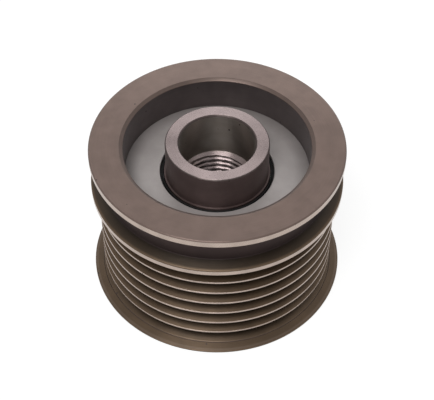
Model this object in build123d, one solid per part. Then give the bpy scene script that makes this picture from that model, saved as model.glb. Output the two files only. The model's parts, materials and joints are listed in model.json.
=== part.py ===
"""Overrunning alternator pulley: a seven-groove rim that turns on a threaded hub through two roller bearings
with a one-way roller clutch between them. Millimetres, +Z up along the axis, from the front face of the rim
at z = 0 to the hub's rear end, which seats against the alternator."""

from build123d import *
from math import cos, radians, sin, tan
import os

# Hub: the bore centres on the alternator shaft and the thread pulls it up
pilot_bore_radius = 8.5
pilot_bore_depth = 11.3
bore_mouth_chamfer = 0.35
nose_wall = 3.1
nose_chamfer = 0.25
nose_proud = 0.4
nose_step_setback = 0.1
seat_step = 0.4
front_collar_height = 1.6
hub_front_setback = 1.2
thread_radius = 8.0
thread_pitch = 1.5
thread_depth_share = 0.5413
bore_floor_fall = 0.6

# Tool socket in the hub's front end
socket_teeth = 33
socket_tooth_depth = 0.7
socket_over_bore = 0.1
socket_depth = 10.8
socket_floor_fall = 0.8

# Belt profile: V grooves of 40 degrees between a front flange and two rear rims
groove_count = 7
groove_pitch = 3.56
groove_depth = 2.95
groove_flank = 20.0
crest_land = 0.4
rim_wall = 4.05
rear_rim_height = 1.5
rear_rim_land = 1.7
rear_rim_chamfer = 0.25
second_rim_land = 1.33
second_rim_fall = 1.23
front_rim_height = 2.4
front_rim_land = 0.4
front_rim_fall = 0.81
wide_groove_depth = 2.6
wide_groove_floor = 5.92
wide_groove_flank = 20.0

# Recesses of the rim, rear and front
recess_step = 0.9
rear_mouth_width = 0.8
rear_mouth_depth = 0.45
front_mouth_chamfer = 0.5
front_recess_depth = 1.6

# Covers and lip seals
rear_cover_thickness = 1.0
rear_cover_gap = 0.9
front_cover_thickness = 0.8
front_cover_gap = 1.0
rear_seal_thickness = 1.2
front_seal_thickness = 1.1
seal_lip_thickness = 0.35
seal_lip_clearance = 0.1
seal_lip_reach = 0.6
seal_lip_relief = 0.5

# Roller bearings, one at each end
bearing_width = 7.0
inner_ring_wall = 2.4
inner_rib_height = 0.8
outer_ring_wall = 1.8
outer_rib_height = 0.8
rib_width = 1.2
roller_diameter = 3.76
roller_clearance = 0.02
roller_end_play = 0.05
roller_count = 12
cage_clearance = 0.3
cage_end_clearance = 0.2
pocket_clearance = 0.1

# One-way clutch between the bearings
clutch_length = 8.5
washer_thickness = 0.7
washer_clearance = 0.4
clutch_roller_diameter = 3.5
clutch_roller_clearance = 0.03
clutch_roller_count = 10
ramp_angle = 6.0
pocket_lead = 2.2
pocket_trail = 4.6
pocket_height = 5.0
clutch_cage_end_gap = 0.1
clutch_cage_rim_width = 0.9
window_inset = 0.25
spring_thickness = 0.2
spring_legs = 4
spring_height = 1.7
spring_end_gap = 0.15
spring_side_gap = 0.6

# Levels along the axis, from the front face of the rim towards the alternator
front_cover_low = front_recess_depth
front_seal_low = front_cover_low + front_cover_thickness
front_bearing_low = front_seal_low + front_seal_thickness
front_washer_low = front_bearing_low + bearing_width
cam_low = front_washer_low + washer_thickness
rear_washer_low = cam_low + clutch_length
rear_bearing_low = rear_washer_low + washer_thickness
rear_seal_low = rear_bearing_low + bearing_width
rear_cover_low = rear_seal_low + rear_seal_thickness
rear_cover_high = rear_cover_low + rear_cover_thickness

# Radii from the shaft outwards
nose_radius = pilot_bore_radius + nose_wall
seat_radius = nose_radius + seat_step
collar_radius = seat_radius + front_collar_height
inner_race_radius = seat_radius + inner_ring_wall
outer_race_radius = inner_race_radius + roller_diameter + 2 * roller_clearance
roller_pitch_radius = (inner_race_radius + outer_race_radius) / 2
outer_rib_radius = outer_race_radius - outer_rib_height
inner_rib_radius = inner_race_radius + inner_rib_height
housing_radius = outer_race_radius + outer_ring_wall
recess_radius = housing_radius + recess_step
groove_root_radius = housing_radius + rim_wall
crest_radius = groove_root_radius + groove_depth
rear_rim_radius = crest_radius + rear_rim_height
front_rim_radius = crest_radius + front_rim_height
wide_groove_radius = rear_rim_radius - wide_groove_depth
thread_minor_radius = thread_radius - thread_depth_share * thread_pitch
rear_lip_radius = seat_radius + seal_lip_clearance
front_lip_radius = collar_radius + seal_lip_clearance
clutch_roller_radius = clutch_roller_diameter / 2
clutch_pitch_radius = outer_race_radius - clutch_roller_clearance - clutch_roller_radius
clutch_cage_inner = clutch_pitch_radius + cage_clearance
clutch_cage_outer = outer_race_radius - cage_clearance

# Levels of the belt profile
groove_half_mouth = (groove_pitch - crest_land) / 2
groove_half_root = groove_half_mouth - groove_depth * tan(radians(groove_flank))
first_groove_level = front_rim_land + front_rim_fall + groove_half_mouth
last_groove_level = first_groove_level + (groove_count - 1) * groove_pitch
second_rim_low = last_groove_level + groove_half_mouth + second_rim_fall
wide_groove_low = second_rim_low + second_rim_land
wide_flank_fall = wide_groove_depth * tan(radians(wide_groove_flank))
wide_groove_high = wide_groove_low + wide_groove_floor + 2 * wide_flank_fall
rim_height = wide_groove_high + rear_rim_land
hub_rear = rim_height + nose_proud
turn = 360.0


def turned(points):
    """A ring turned about the axis from its half section, given as radius and level."""
    section = make_face(Polyline(*points, close=True))
    return revolve(Plane.XZ * section, Axis.Z)


def ring(inner, outer, low, high):
    """A plain ring of rectangular section."""
    return turned([(inner, low), (outer, low), (outer, high), (inner, high)])


def belt_profile():
    """Points of the rim's outside from the front edge to the rear edge."""
    points = [(front_rim_radius, 0), (front_rim_radius, front_rim_land)]
    for index in range(groove_count):
        level = first_groove_level + index * groove_pitch
        points += [
            (crest_radius, level - groove_half_mouth),
            (groove_root_radius, level - groove_half_root),
            (groove_root_radius, level + groove_half_root),
            (crest_radius, level + groove_half_mouth),
        ]
    points += [
        (rear_rim_radius, second_rim_low),
        (rear_rim_radius, wide_groove_low),
        (wide_groove_radius, wide_groove_low + wide_flank_fall),
        (wide_groove_radius, wide_groove_high - wide_flank_fall),
        (rear_rim_radius, wide_groove_high),
        (rear_rim_radius, rim_height - rear_rim_chamfer),
        (rear_rim_radius - rear_rim_chamfer, rim_height),
    ]
    return points


def rim_inside():
    """Points of the rim's inside from the rear edge to the front edge."""
    return [
        (recess_radius + rear_mouth_width, rim_height),
        (recess_radius, rim_height - rear_mouth_depth),
        (recess_radius, rear_cover_low),
        (housing_radius, rear_cover_low),
        (housing_radius, front_seal_low),
        (recess_radius, front_seal_low),
        (recess_radius, front_mouth_chamfer),
        (recess_radius + front_mouth_chamfer, 0),
    ]


def pulley_rim():
    return turned(belt_profile() + rim_inside())


def socket_outline(tip_radius):
    """Star of the tool socket: one V tooth after another round the bore."""
    points = []
    for index in range(2 * socket_teeth):
        angle = radians(index * turn / (2 * socket_teeth))
        radius = tip_radius + socket_tooth_depth * (index % 2)
        points.append((radius * cos(angle), radius * sin(angle)))
    return make_face(Polyline(*points, close=True))


def hub_sleeve():
    """Hub with its collar, bearing seat, nose, pilot bore, thread bore and toothed socket."""
    tip_radius = pilot_bore_radius + socket_over_bore
    socket_high = hub_front_setback + socket_depth
    bore_floor = hub_rear - pilot_bore_depth
    step_level = rear_cover_high - nose_step_setback
    body = turned(
        [
            (tip_radius, hub_front_setback),
            (collar_radius, hub_front_setback),
            (collar_radius, front_bearing_low),
            (seat_radius, front_bearing_low),
            (seat_radius, step_level),
            (nose_radius, step_level),
            (nose_radius, hub_rear - nose_chamfer),
            (nose_radius - nose_chamfer, hub_rear),
            (pilot_bore_radius + bore_mouth_chamfer, hub_rear),
            (pilot_bore_radius, hub_rear - bore_mouth_chamfer),
            (pilot_bore_radius, bore_floor),
            (thread_minor_radius, bore_floor - bore_floor_fall),
            (thread_minor_radius, socket_high + socket_floor_fall),
            (tip_radius, socket_high),
        ]
    )
    socket = extrude(socket_outline(tip_radius), socket_depth)
    return body - Pos(0, 0, hub_front_setback) * socket


def cover_plate(gap_radius, low, thickness):
    """Flat steel disc pressed into the rim."""
    return ring(gap_radius, recess_radius, low, low + thickness)


def rear_lip_seal():
    """Rubber ring behind the rear cover, with its lip standing up round the hub."""
    high = rear_seal_low + rear_seal_thickness
    lip_outer = rear_lip_radius + seal_lip_thickness
    return turned(
        [
            (housing_radius, rear_seal_low),
            (housing_radius, high),
            (lip_outer, high),
            (lip_outer, high + seal_lip_reach),
            (rear_lip_radius, high + seal_lip_reach),
            (rear_lip_radius, high - seal_lip_relief),
            (inner_race_radius, rear_seal_low),
        ]
    )


def front_lip_seal():
    """Rubber ring behind the front cover, with its lip round the hub's collar."""
    high = front_seal_low + front_seal_thickness
    lip_outer = front_lip_radius + seal_lip_thickness
    return turned(
        [
            (housing_radius, high),
            (housing_radius, front_seal_low),
            (lip_outer, front_seal_low),
            (lip_outer, front_seal_low - seal_lip_reach),
            (front_lip_radius, front_seal_low - seal_lip_reach),
            (front_lip_radius, front_seal_low + seal_lip_relief),
            (inner_race_radius, high),
        ]
    )


def bearing_outer_ring(low):
    """Outer ring with a rib at each end of its race."""
    high = low + bearing_width
    return turned(
        [
            (housing_radius, low),
            (housing_radius, high),
            (outer_rib_radius, high),
            (outer_rib_radius, high - rib_width),
            (outer_race_radius, high - rib_width),
            (outer_race_radius, low + rib_width),
            (outer_rib_radius, low + rib_width),
            (outer_rib_radius, low),
        ]
    )


def bearing_inner_ring(plain_end, ribbed_end):
    """Inner ring on the hub's seat, with one rib at the end that faces the clutch."""
    towards_clutch = 1 if ribbed_end > plain_end else -1
    rib_level = ribbed_end - towards_clutch * rib_width
    return turned(
        [
            (seat_radius, plain_end),
            (inner_race_radius, plain_end),
            (inner_race_radius, rib_level),
            (inner_rib_radius, rib_level),
            (inner_rib_radius, ribbed_end),
            (seat_radius, ribbed_end),
        ]
    )


def roller_length():
    return bearing_width - 2 * (rib_width + roller_end_play)


def bearing_rollers(low):
    """A set of plain rollers round the race."""
    middle = low + bearing_width / 2
    roller = Cylinder(roller_diameter / 2, roller_length())
    places = PolarLocations(roller_pitch_radius, roller_count)
    return Compound(children=[place * Pos(0, 0, middle) * roller for place in places])


def bearing_cage(low):
    """Window cage that spaces the rollers."""
    inner = inner_rib_radius + cage_clearance
    outer = outer_rib_radius - cage_clearance
    cage = ring(inner, outer, low + cage_end_clearance, low + bearing_width - cage_end_clearance)
    window = Box(
        2 * (outer - inner),
        roller_diameter + 2 * pocket_clearance,
        roller_length() + 2 * pocket_clearance,
    )
    middle = low + bearing_width / 2
    places = PolarLocations(roller_pitch_radius, roller_count)
    return cage - [place * Pos(0, 0, middle) * window for place in places]


def clutch_outer_sleeve():
    """Hardened sleeve that the clutch rollers jam against."""
    return ring(outer_race_radius, housing_radius, front_washer_low, rear_bearing_low)


def side_washer(low):
    """Thin washer that keeps the clutch rollers in at one side."""
    return ring(seat_radius, outer_rib_radius - washer_clearance, low, low + washer_thickness)


def cam_middle():
    return cam_low + clutch_length / 2


def clutch_cam_ring():
    """Ring on the hub with a sloping flat under each roller."""
    body = ring(seat_radius, clutch_pitch_radius, cam_low, rear_washer_low)
    width = pocket_lead + pocket_trail
    floor_gap = clutch_roller_radius + clutch_roller_clearance
    pocket = Box(pocket_height, width, clutch_length)
    offset = Pos(pocket_height / 2 - floor_gap, (pocket_trail - pocket_lead) / 2, 0)
    places = PolarLocations(clutch_pitch_radius, clutch_roller_count)
    tools = [place * Rot(0, 0, ramp_angle) * offset * Pos(0, 0, cam_middle()) * pocket for place in places]
    return body - tools


def clutch_window_length():
    return clutch_length - 2 * (clutch_cage_end_gap + clutch_cage_rim_width)


def clutch_roller_length():
    return clutch_window_length() - 2 * pocket_clearance


def clutch_rollers():
    """Rollers that jam between the cam ring and the sleeve."""
    roller = Cylinder(clutch_roller_radius, clutch_roller_length())
    places = PolarLocations(clutch_pitch_radius, clutch_roller_count)
    return Compound(children=[place * Pos(0, 0, cam_middle()) * roller for place in places])


def clutch_cage():
    """Cage with one window for each roller and its spring."""
    half_length = clutch_length / 2 - clutch_cage_end_gap
    cage = ring(
        clutch_cage_inner,
        clutch_cage_outer,
        cam_middle() - half_length,
        cam_middle() + half_length,
    )
    lead = clutch_roller_radius + pocket_clearance
    trail = pocket_trail - window_inset
    window = Box(2 * clutch_roller_diameter, lead + trail, clutch_window_length())
    offset = Pos(0, (trail - lead) / 2, 0)
    places = PolarLocations(clutch_pitch_radius, clutch_roller_count)
    return cage - [place * offset * Pos(0, 0, cam_middle()) * window for place in places]


def spring_section():
    """Zigzag strip between a roller and the end of its window."""
    near = clutch_roller_radius + spring_end_gap + spring_thickness / 2
    far = pocket_trail - window_inset - spring_end_gap - spring_thickness
    step = (far - near) / spring_legs
    section = Sketch()
    for leg in range(spring_legs):
        side = spring_height / 2 if leg % 2 else -spring_height / 2
        start = Vector(-side, near + leg * step)
        end = Vector(side, near + (leg + 1) * step)
        along = end - start
        middle = (start + end) / 2
        angle = Vector(1, 0).get_signed_angle(along)
        strip = Rectangle(along.length + spring_thickness, spring_thickness)
        section += Pos(middle.X, middle.Y) * Rot(0, 0, angle) * strip
    return section


def clutch_springs():
    """One folded strip spring behind each roller."""
    width = clutch_window_length() - 2 * spring_side_gap
    strip = extrude(spring_section(), width / 2, both=True)
    places = PolarLocations(clutch_pitch_radius, clutch_roller_count)
    return Compound(children=[place * Pos(0, 0, cam_middle()) * strip for place in places])


parts = {
    "pulley_rim": pulley_rim(),
    "hub_sleeve": hub_sleeve(),
    "rear_cover_plate": cover_plate(seat_radius + rear_cover_gap, rear_cover_low, rear_cover_thickness),
    "front_cover_plate": cover_plate(collar_radius + front_cover_gap, front_cover_low, front_cover_thickness),
    "rear_lip_seal": rear_lip_seal(),
    "front_lip_seal": front_lip_seal(),
    "rear_outer_ring": bearing_outer_ring(rear_bearing_low),
    "front_outer_ring": bearing_outer_ring(front_bearing_low),
    "rear_inner_ring": bearing_inner_ring(rear_seal_low, rear_bearing_low),
    "front_inner_ring": bearing_inner_ring(front_bearing_low, front_washer_low),
    "rear_rollers": bearing_rollers(rear_bearing_low),
    "front_rollers": bearing_rollers(front_bearing_low),
    "rear_roller_cage": bearing_cage(rear_bearing_low),
    "front_roller_cage": bearing_cage(front_bearing_low),
    "rear_side_washer": side_washer(rear_washer_low),
    "front_side_washer": side_washer(front_washer_low),
    "clutch_outer_sleeve": clutch_outer_sleeve(),
    "clutch_cam_ring": clutch_cam_ring(),
    "clutch_rollers": clutch_rollers(),
    "clutch_cage": clutch_cage(),
    "clutch_springs": clutch_springs(),
}

os.makedirs("parts", exist_ok=True)
for name, shape in parts.items():
    export_step(shape, f"parts/{name}.step")
    print(name, round(shape.volume, 1))
print("rim", round(rim_height, 2), "hub rear", round(hub_rear, 2), "cover", round(rear_cover_high, 2))
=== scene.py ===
# %% [markdown]
# # An overrunning alternator pulley
# The object is a turned steel rim with seven V grooves for a ribbed belt. It turns on a
# threaded hub, with roller bearings and a one-way clutch hidden between them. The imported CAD
# model gives every piece its place and size. This script dresses it: rounded edges, a real
# thread, and the finish of each surface.

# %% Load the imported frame
import json
import math
from collections import namedtuple

import bmesh
import bpy
from mathutils import Matrix, Vector


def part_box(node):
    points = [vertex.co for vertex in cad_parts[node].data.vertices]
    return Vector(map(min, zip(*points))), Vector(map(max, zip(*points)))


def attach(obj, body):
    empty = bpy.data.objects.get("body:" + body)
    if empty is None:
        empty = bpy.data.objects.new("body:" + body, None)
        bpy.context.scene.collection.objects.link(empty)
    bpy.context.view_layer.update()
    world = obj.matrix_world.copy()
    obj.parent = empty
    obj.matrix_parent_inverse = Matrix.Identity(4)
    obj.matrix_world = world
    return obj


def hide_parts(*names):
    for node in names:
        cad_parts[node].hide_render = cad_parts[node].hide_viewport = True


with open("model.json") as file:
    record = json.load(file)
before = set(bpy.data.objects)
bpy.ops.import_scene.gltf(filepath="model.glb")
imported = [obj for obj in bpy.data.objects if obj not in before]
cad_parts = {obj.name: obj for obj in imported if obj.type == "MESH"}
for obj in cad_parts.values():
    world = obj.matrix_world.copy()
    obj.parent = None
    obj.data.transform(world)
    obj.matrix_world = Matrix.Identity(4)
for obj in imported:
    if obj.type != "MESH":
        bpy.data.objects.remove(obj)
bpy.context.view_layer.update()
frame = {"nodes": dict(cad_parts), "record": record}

scene = bpy.context.scene
scene.view_settings.view_transform = "Standard"
MM = 0.001
print("nodes in the frame:", len(frame["nodes"]))

# %% [markdown]
# Sizes come from the frame where a node's box gives them. The rest are the same sizes that the
# CAD model was drawn to, written once here in millimetres, because a box can't show them.

# %% Sizes read from the frame
RIM_LOW, RIM_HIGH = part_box("pulley_rim")
RIM_HEIGHT = RIM_HIGH.z
FRONT_RIM_RADIUS = min(-RIM_LOW.x, -RIM_LOW.y, RIM_HIGH.x, RIM_HIGH.y)
HOUSING_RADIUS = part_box("rear_outer_ring")[1].x
RECESS_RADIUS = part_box("rear_cover_plate")[1].x
REAR_COVER_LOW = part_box("rear_cover_plate")[0].z
REAR_COVER_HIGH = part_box("rear_cover_plate")[1].z
FRONT_COVER_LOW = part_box("front_cover_plate")[0].z
FRONT_COVER_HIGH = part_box("front_cover_plate")[1].z
REAR_BEARING_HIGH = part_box("rear_outer_ring")[1].z
FRONT_BEARING_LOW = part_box("front_outer_ring")[0].z
COLLAR_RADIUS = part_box("hub_sleeve")[1].x
HUB_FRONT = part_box("hub_sleeve")[0].z
HUB_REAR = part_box("hub_sleeve")[1].z
rim_size, hub_size = RIM_HEIGHT / MM, (HUB_REAR - HUB_FRONT) / MM
print(f"rim height {rim_size:.2f} mm, hub {hub_size:.2f} mm")

# %% Sizes the boxes can't show
CREST_RADIUS = FRONT_RIM_RADIUS - 2.4 * MM
REAR_RIM_RADIUS = CREST_RADIUS + 1.5 * MM
GROOVE_COUNT = 7
GROOVE_PITCH = 3.56 * MM
GROOVE_DEPTH = 2.95 * MM
CREST_LAND = 0.4 * MM
FLANK = math.radians(20)
FRONT_RIM_LAND = 0.4 * MM
FRONT_RIM_FALL = 0.81 * MM
REAR_RIM_LAND = 1.7 * MM
REAR_RIM_CHAMFER = 0.25 * MM
SECOND_RIM_LAND = 1.33 * MM
SECOND_RIM_FALL = 1.23 * MM
WIDE_GROOVE_DEPTH = 2.6 * MM
SEAT_RADIUS = COLLAR_RADIUS - 1.6 * MM
NOSE_RADIUS = SEAT_RADIUS - 0.4 * MM
NOSE_STEP_SETBACK = 0.1 * MM
PILOT_RADIUS = 8.5 * MM
PILOT_DEPTH = 11.3 * MM
THREAD_RADIUS = 8.0 * MM
THREAD_PITCH = 1.5 * MM
THREAD_DEPTH = 0.5413 * THREAD_PITCH
SOCKET_TEETH = 33
SOCKET_TOOTH_DEPTH = 0.7 * MM
SOCKET_RADIUS = PILOT_RADIUS + 0.1 * MM
SOCKET_DEPTH = 10.8 * MM

# %% [markdown]
# The camera comes first, so that every later step can be judged in the photograph's own frame.
# The place and the lens were worked out by fitting circles of the pulley to their outlines in
# the photograph: the camera looks down by nearly 48 degrees from a good quarter of a metre
# away.

# %% Place the camera
IMAGE_WIDTH = 434
FOCAL_PIXELS = 1184.9
SENSOR_WIDTH = 36
NEAR_LIMIT = 10 * MM
CAMERA_ELEVATION = math.radians(47.78)
CAMERA_DISTANCE = 274.84 * MM
CAMERA_ROLL = math.radians(0.316)
AIM_BELOW_TOP = 18.54 * MM

camera_data = bpy.data.cameras.new("photo_camera")
camera = bpy.data.objects.new("photo_camera", camera_data)
scene.collection.objects.link(camera)
camera_data.sensor_width = SENSOR_WIDTH
camera_data.lens = FOCAL_PIXELS / IMAGE_WIDTH * SENSOR_WIDTH
camera_data.clip_start = NEAR_LIMIT
aim = Vector((0, 0, RIM_HEIGHT - AIM_BELOW_TOP))
towards_camera = Vector((0, -math.cos(CAMERA_ELEVATION), math.sin(CAMERA_ELEVATION)))
camera.location = aim + towards_camera * CAMERA_DISTANCE
level_view = (-towards_camera).to_track_quat("-Z", "Y").to_matrix().to_4x4()
camera.rotation_euler = (level_view @ Matrix.Rotation(CAMERA_ROLL, 4, "Z")).to_euler()
scene.camera = camera
print("lens", round(camera_data.lens, 1), "mm")

# %% [markdown]
# Node trees are easier to read when one short call adds a node, sets it and wires it. `add`
# does that for shader trees and geometry trees alike: a socket as a value makes a link, and
# anything else is written into the input.

# %% Helpers that build node trees
def put(tree, socket, value):
    if isinstance(value, bpy.types.NodeSocket):
        tree.links.new(value, socket)
    else:
        socket.default_value = value


def add(tree, kind, inputs=None, **settings):
    node = tree.nodes.new(kind)
    for name, value in settings.items():
        setattr(node, name, value)
    for key, value in (inputs or {}).items():
        put(tree, node.inputs[key], value)
    return node


def calculate(tree, operation, *values):
    return add(tree, "ShaderNodeMath", dict(enumerate(values)), operation=operation).outputs[0]


def calculate_vector(tree, operation, *vectors):
    inputs = dict(enumerate(vectors))
    return add(tree, "ShaderNodeVectorMath", inputs, operation=operation).outputs


def ramp(tree, value, low, high, to_low=0.0, to_high=1.0):
    inputs = {
        "Value": value,
        "From Min": low,
        "From Max": high,
        "To Min": to_low,
        "To Max": to_high,
    }
    node = add(tree, "ShaderNodeMapRange", inputs, interpolation_type="SMOOTHSTEP")
    return node.outputs["Result"]


# A Mix node has a pair of sockets for each kind of value, so they are reached by number
def blend(tree, factor, first, second):
    inputs = {0: factor, 2: first, 3: second}
    return add(tree, "ShaderNodeMix", inputs, data_type="FLOAT").outputs[0]


def mix_colors(tree, factor, first, second):
    node = add(tree, "ShaderNodeMix", data_type="RGBA")
    for key, value in ((0, factor), (6, first), (7, second)):
        put(tree, node.inputs[key], value)
    return node.outputs[2]


FLOAT = "NodeSocketFloat"
INT = "NodeSocketInt"
GEOMETRY = "NodeSocketGeometry"
MATERIAL = "NodeSocketMaterial"
GEOMETRY_OUT = [("Geometry", GEOMETRY, None)]
MASK_OUT = [("Mask", FLOAT, None)]


def new_tree(name, kind, inputs, outputs):
    tree = bpy.data.node_groups.new(name, kind)
    for direction, sockets in (("INPUT", inputs), ("OUTPUT", outputs)):
        for socket_name, socket_type, default in sockets:
            socket = tree.interface.new_socket(
                socket_name, in_out=direction, socket_type=socket_type
            )
            if default is not None:
                socket.default_value = default
    given = tree.nodes.new("NodeGroupInput").outputs
    result = tree.nodes.new("NodeGroupOutput").inputs
    return tree, given, result


# %% [markdown]
# Almost every piece here was made on a lathe, so almost every piece is one outline turned about
# the axis. Geometry Nodes do the turning: the outline's corners become a closed curve, each
# corner is rounded by its own radius, and Curve to Mesh carries the curve once round a circle.
# The result is a closed skin with no pole and no seam. An outline lies in X (radius) and Y
# (height).

# %% The turning tree
SPINE_RADIUS = 10 * MM
SEGMENTS = 256
EDGE_STEPS = 3


def mark_of(tree, name):
    node = add(tree, "GeometryNodeInputNamedAttribute", {"Name": name}, data_type="FLOAT")
    return node.outputs["Attribute"]


def position_parts(tree):
    position = add(tree, "GeometryNodeInputPosition").outputs[0]
    return add(tree, "ShaderNodeSeparateXYZ", {0: position}).outputs


def flatten(tree, place):
    return add(tree, "ShaderNodeCombineXYZ", {"X": place["X"], "Y": place["Y"]}).outputs[0]


def build_turning_tree():
    inputs = [
        ("Outline", GEOMETRY, None),
        ("Segments", INT, SEGMENTS),
        ("Edge Steps", INT, EDGE_STEPS),
    ]
    tree, given, result = new_tree("turn outline", "GeometryNodeTree", inputs, GEOMETRY_OUT)
    corners = add(tree, "GeometryNodeMeshToPoints", {"Mesh": given["Outline"]}).outputs[0]
    in_order = {"Points": corners, "Weight": mark_of(tree, "order")}
    curve = add(tree, "GeometryNodePointsToCurves", in_order).outputs[0]
    closed = add(tree, "GeometryNodeSetSplineCyclic", {0: curve, "Cyclic": True}).outputs[0]
    rounding = {
        "Curve": closed,
        "Count": given["Edge Steps"],
        "Radius": mark_of(tree, "rounding"),
        "Limit Radius": True,
    }
    rounded = add(tree, "GeometryNodeFilletCurve", rounding, mode="POLY").outputs[0]
    place = position_parts(tree)
    from_spine = calculate(tree, "SUBTRACT", place["X"], SPINE_RADIUS)
    down = calculate(tree, "MULTIPLY", place["Y"], -1.0)
    turned_place = flatten(tree, {"X": from_spine, "Y": down})
    moved = {"Geometry": rounded, "Position": turned_place}
    profile = add(tree, "GeometryNodeSetPosition", moved)
    round_once = {"Resolution": given["Segments"], "Radius": SPINE_RADIUS}
    circle = add(tree, "GeometryNodeCurvePrimitiveCircle", round_once).outputs[0]
    swept = {"Curve": circle, "Profile Curve": profile.outputs[0]}
    skin = add(tree, "GeometryNodeCurveToMesh", swept).outputs[0]
    tree.links.new(skin, result["Geometry"])
    return tree


TURNING = build_turning_tree()
print("nodes in the turning tree:", len(TURNING.nodes))

# %% [markdown]
# A plain turned piece needs only that tree and a material. The tree around it ends in Realize
# Instances and Set Material, as does every tree here that makes a piece, so that nothing is
# lost in the export.

# %% A tree for plain turned pieces
TURNING_INPUTS = [
    ("Outline", GEOMETRY, None),
    ("Segments", INT, SEGMENTS),
    ("Edge Steps", INT, EDGE_STEPS),
    ("Material", MATERIAL, None),
]


def turn_in(tree, outline, given):
    group = add(tree, "GeometryNodeGroup", node_tree=TURNING)
    tree.links.new(outline, group.inputs["Outline"])
    for name in ("Segments", "Edge Steps"):
        tree.links.new(given[name], group.inputs[name])
    return group.outputs[0]


def finish_tree(tree, geometry, material, result):
    real = add(tree, "GeometryNodeRealizeInstances", {0: geometry}).outputs[0]
    painted = add(tree, "GeometryNodeSetMaterial", {"Geometry": real, "Material": material})
    tree.links.new(painted.outputs[0], result["Geometry"])


def build_plain_tree():
    tree, given, result = new_tree(
        "plain turned piece", "GeometryNodeTree", TURNING_INPUTS, GEOMETRY_OUT
    )
    finish_tree(tree, turn_in(tree, given["Outline"], given), given["Material"], result)
    return tree


PLAIN = build_plain_tree()

# %% [markdown]
# An outline is a small mesh of loose corners. Each corner carries its marks: the radius that
# rounds it, its place in the order round the outline, the finish of the surface there, the
# painted shade on it, and the cut that a later step makes. Finish marks run from -3 to 1, and the
# skin blends them between two corners, so one number along the outline tells the material where
# the coat takes its deepest colour, the shaded tint, plain brown, the worn tint, a rubbed band,
# or is ground off. The painted shade runs from 0, none, to 1, where it takes the colour down to
# nearly black.

# %% Outlines and the turned mesh
# The lowest mark picks the deep colour: painted shade on the rim's wide groove floor, a dark
# and painted shade on the hub's chamfered edges and thread.
# scored line, and the honed bore on the hub. The 0.5 mark is an olive worn tint on the rim
DEEP_SHADE_AND_HONE, SHADED, BROWN, WORN_AND_SHADE, RUBBED, GROUND = -3.0, -0.4, 0.0, 0.5, 0.992, 1.0
Corner = namedtuple(
    "Corner",
    "radius level rounding finish cut order grime",
    defaults=(0, BROWN, 0, None, 0),
)


def outline_object(name, corners):
    mesh = bpy.data.meshes.new(name)
    mesh.from_pydata([(corner.radius, corner.level, 0) for corner in corners], [], [])
    for mark in ("rounding", "finish", "grime", "cut", "order"):
        layer = mesh.attributes.new(mark, "FLOAT", "POINT")
        for index, corner in enumerate(corners):
            value = getattr(corner, mark)
            # A corner without an order of its own keeps its place in the list
            layer.data[index].value = index if value is None else value
    obj = bpy.data.objects.new(name, mesh)
    scene.collection.objects.link(obj)
    return obj


def apply_tree(obj, tree, values):
    modifier = obj.modifiers.new("turning", "NODES")
    modifier.node_group = tree
    for item in tree.interface.items_tree:
        if item.in_out == "INPUT" and item.name in values:
            modifier[item.identifier] = values[item.name]
    obj.update_tag()
    graph = bpy.context.evaluated_depsgraph_get()
    mesh = bpy.data.meshes.new_from_object(obj.evaluated_get(graph))
    obj.modifiers.remove(modifier)
    obj.data = mesh
    for mark in ("rounding", "cut", "order"):
        if mark in mesh.attributes:
            mesh.attributes.remove(mesh.attributes[mark])


def face_outwards(mesh):
    shell = bmesh.new()
    shell.from_mesh(mesh)
    if shell.calc_volume(signed=True) < 0:
        bmesh.ops.reverse_faces(shell, faces=shell.faces)
    open_edges = sum(not edge.is_manifold for edge in shell.edges)
    volume = shell.calc_volume(signed=True) / MM**3
    shell.to_mesh(mesh)
    shell.free()
    return open_edges, volume


SHARP_ANGLE = math.radians(50)


def turned_piece(name, corners, body, node, slot_name, material, tree=PLAIN, **sizes):
    values = {"Segments": SEGMENTS, "Edge Steps": EDGE_STEPS, "Material": material}
    values.update(sizes)
    obj = outline_object(name, corners)
    apply_tree(obj, tree, values)
    open_edges, volume = face_outwards(obj.data)
    obj.data.shade_smooth()
    obj.data.set_sharp_from_angle(angle=SHARP_ANGLE)
    flat = obj.modifiers.new("keep flat faces flat", "WEIGHTED_NORMAL")
    flat.keep_sharp = True
    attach(obj, body)
    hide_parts(node)
    faces = len(obj.data.polygons)
    print(f"{name}: {faces} faces, {open_edges} open edges, {volume:.0f} cubic millimetres")


# %% [markdown]
# ## Finishes
# Four finishes make the pulley: a brown phosphate coat, darkened by painted shade in its hollows,
# steel ground bright through that coat, a dull zinc grey on the covers, and black seal rubber.
# Three effects serve more than one of them, so each is a node group. `lathe marks` gives fine
# rings: noise that changes fast with radius and height but slowly round the axis.

# %% Lathe marks
def build_lathe_marks():
    inputs = [("Rings per Metre", FLOAT, 4000.0), ("Drift", FLOAT, 1.5)]
    tree, given, result = new_tree("lathe marks", "ShaderNodeTree", inputs, MASK_OUT)
    place = add(tree, "ShaderNodeTexCoord").outputs["Object"]
    parts = add(tree, "ShaderNodeSeparateXYZ", {0: place}).outputs
    flat = flatten(tree, parts)
    radius = calculate_vector(tree, "LENGTH", flat)["Value"]
    # The direction from the axis closes the pattern round the turn, where an angle would jump
    outwards = calculate_vector(tree, "NORMALIZE", flat)[0]
    drift = {0: outwards, "Scale": given["Drift"]}
    drifted = add(tree, "ShaderNodeVectorMath", drift, operation="SCALE").outputs[0]
    across = calculate(tree, "ADD", radius, parts["Z"])
    rings = calculate(tree, "MULTIPLY", across, given["Rings per Metre"])
    upwards = add(tree, "ShaderNodeCombineXYZ", {"Z": rings}).outputs[0]
    place_in_noise = calculate_vector(tree, "ADD", drifted, upwards)[0]
    noise = {"Vector": place_in_noise, "Scale": 1.0, "Detail": 3.0, "Roughness": 0.6}
    tree.links.new(add(tree, "ShaderNodeTexNoise", noise).outputs["Fac"], result["Mask"])
    return tree


LATHE_MARKS = build_lathe_marks()

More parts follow.
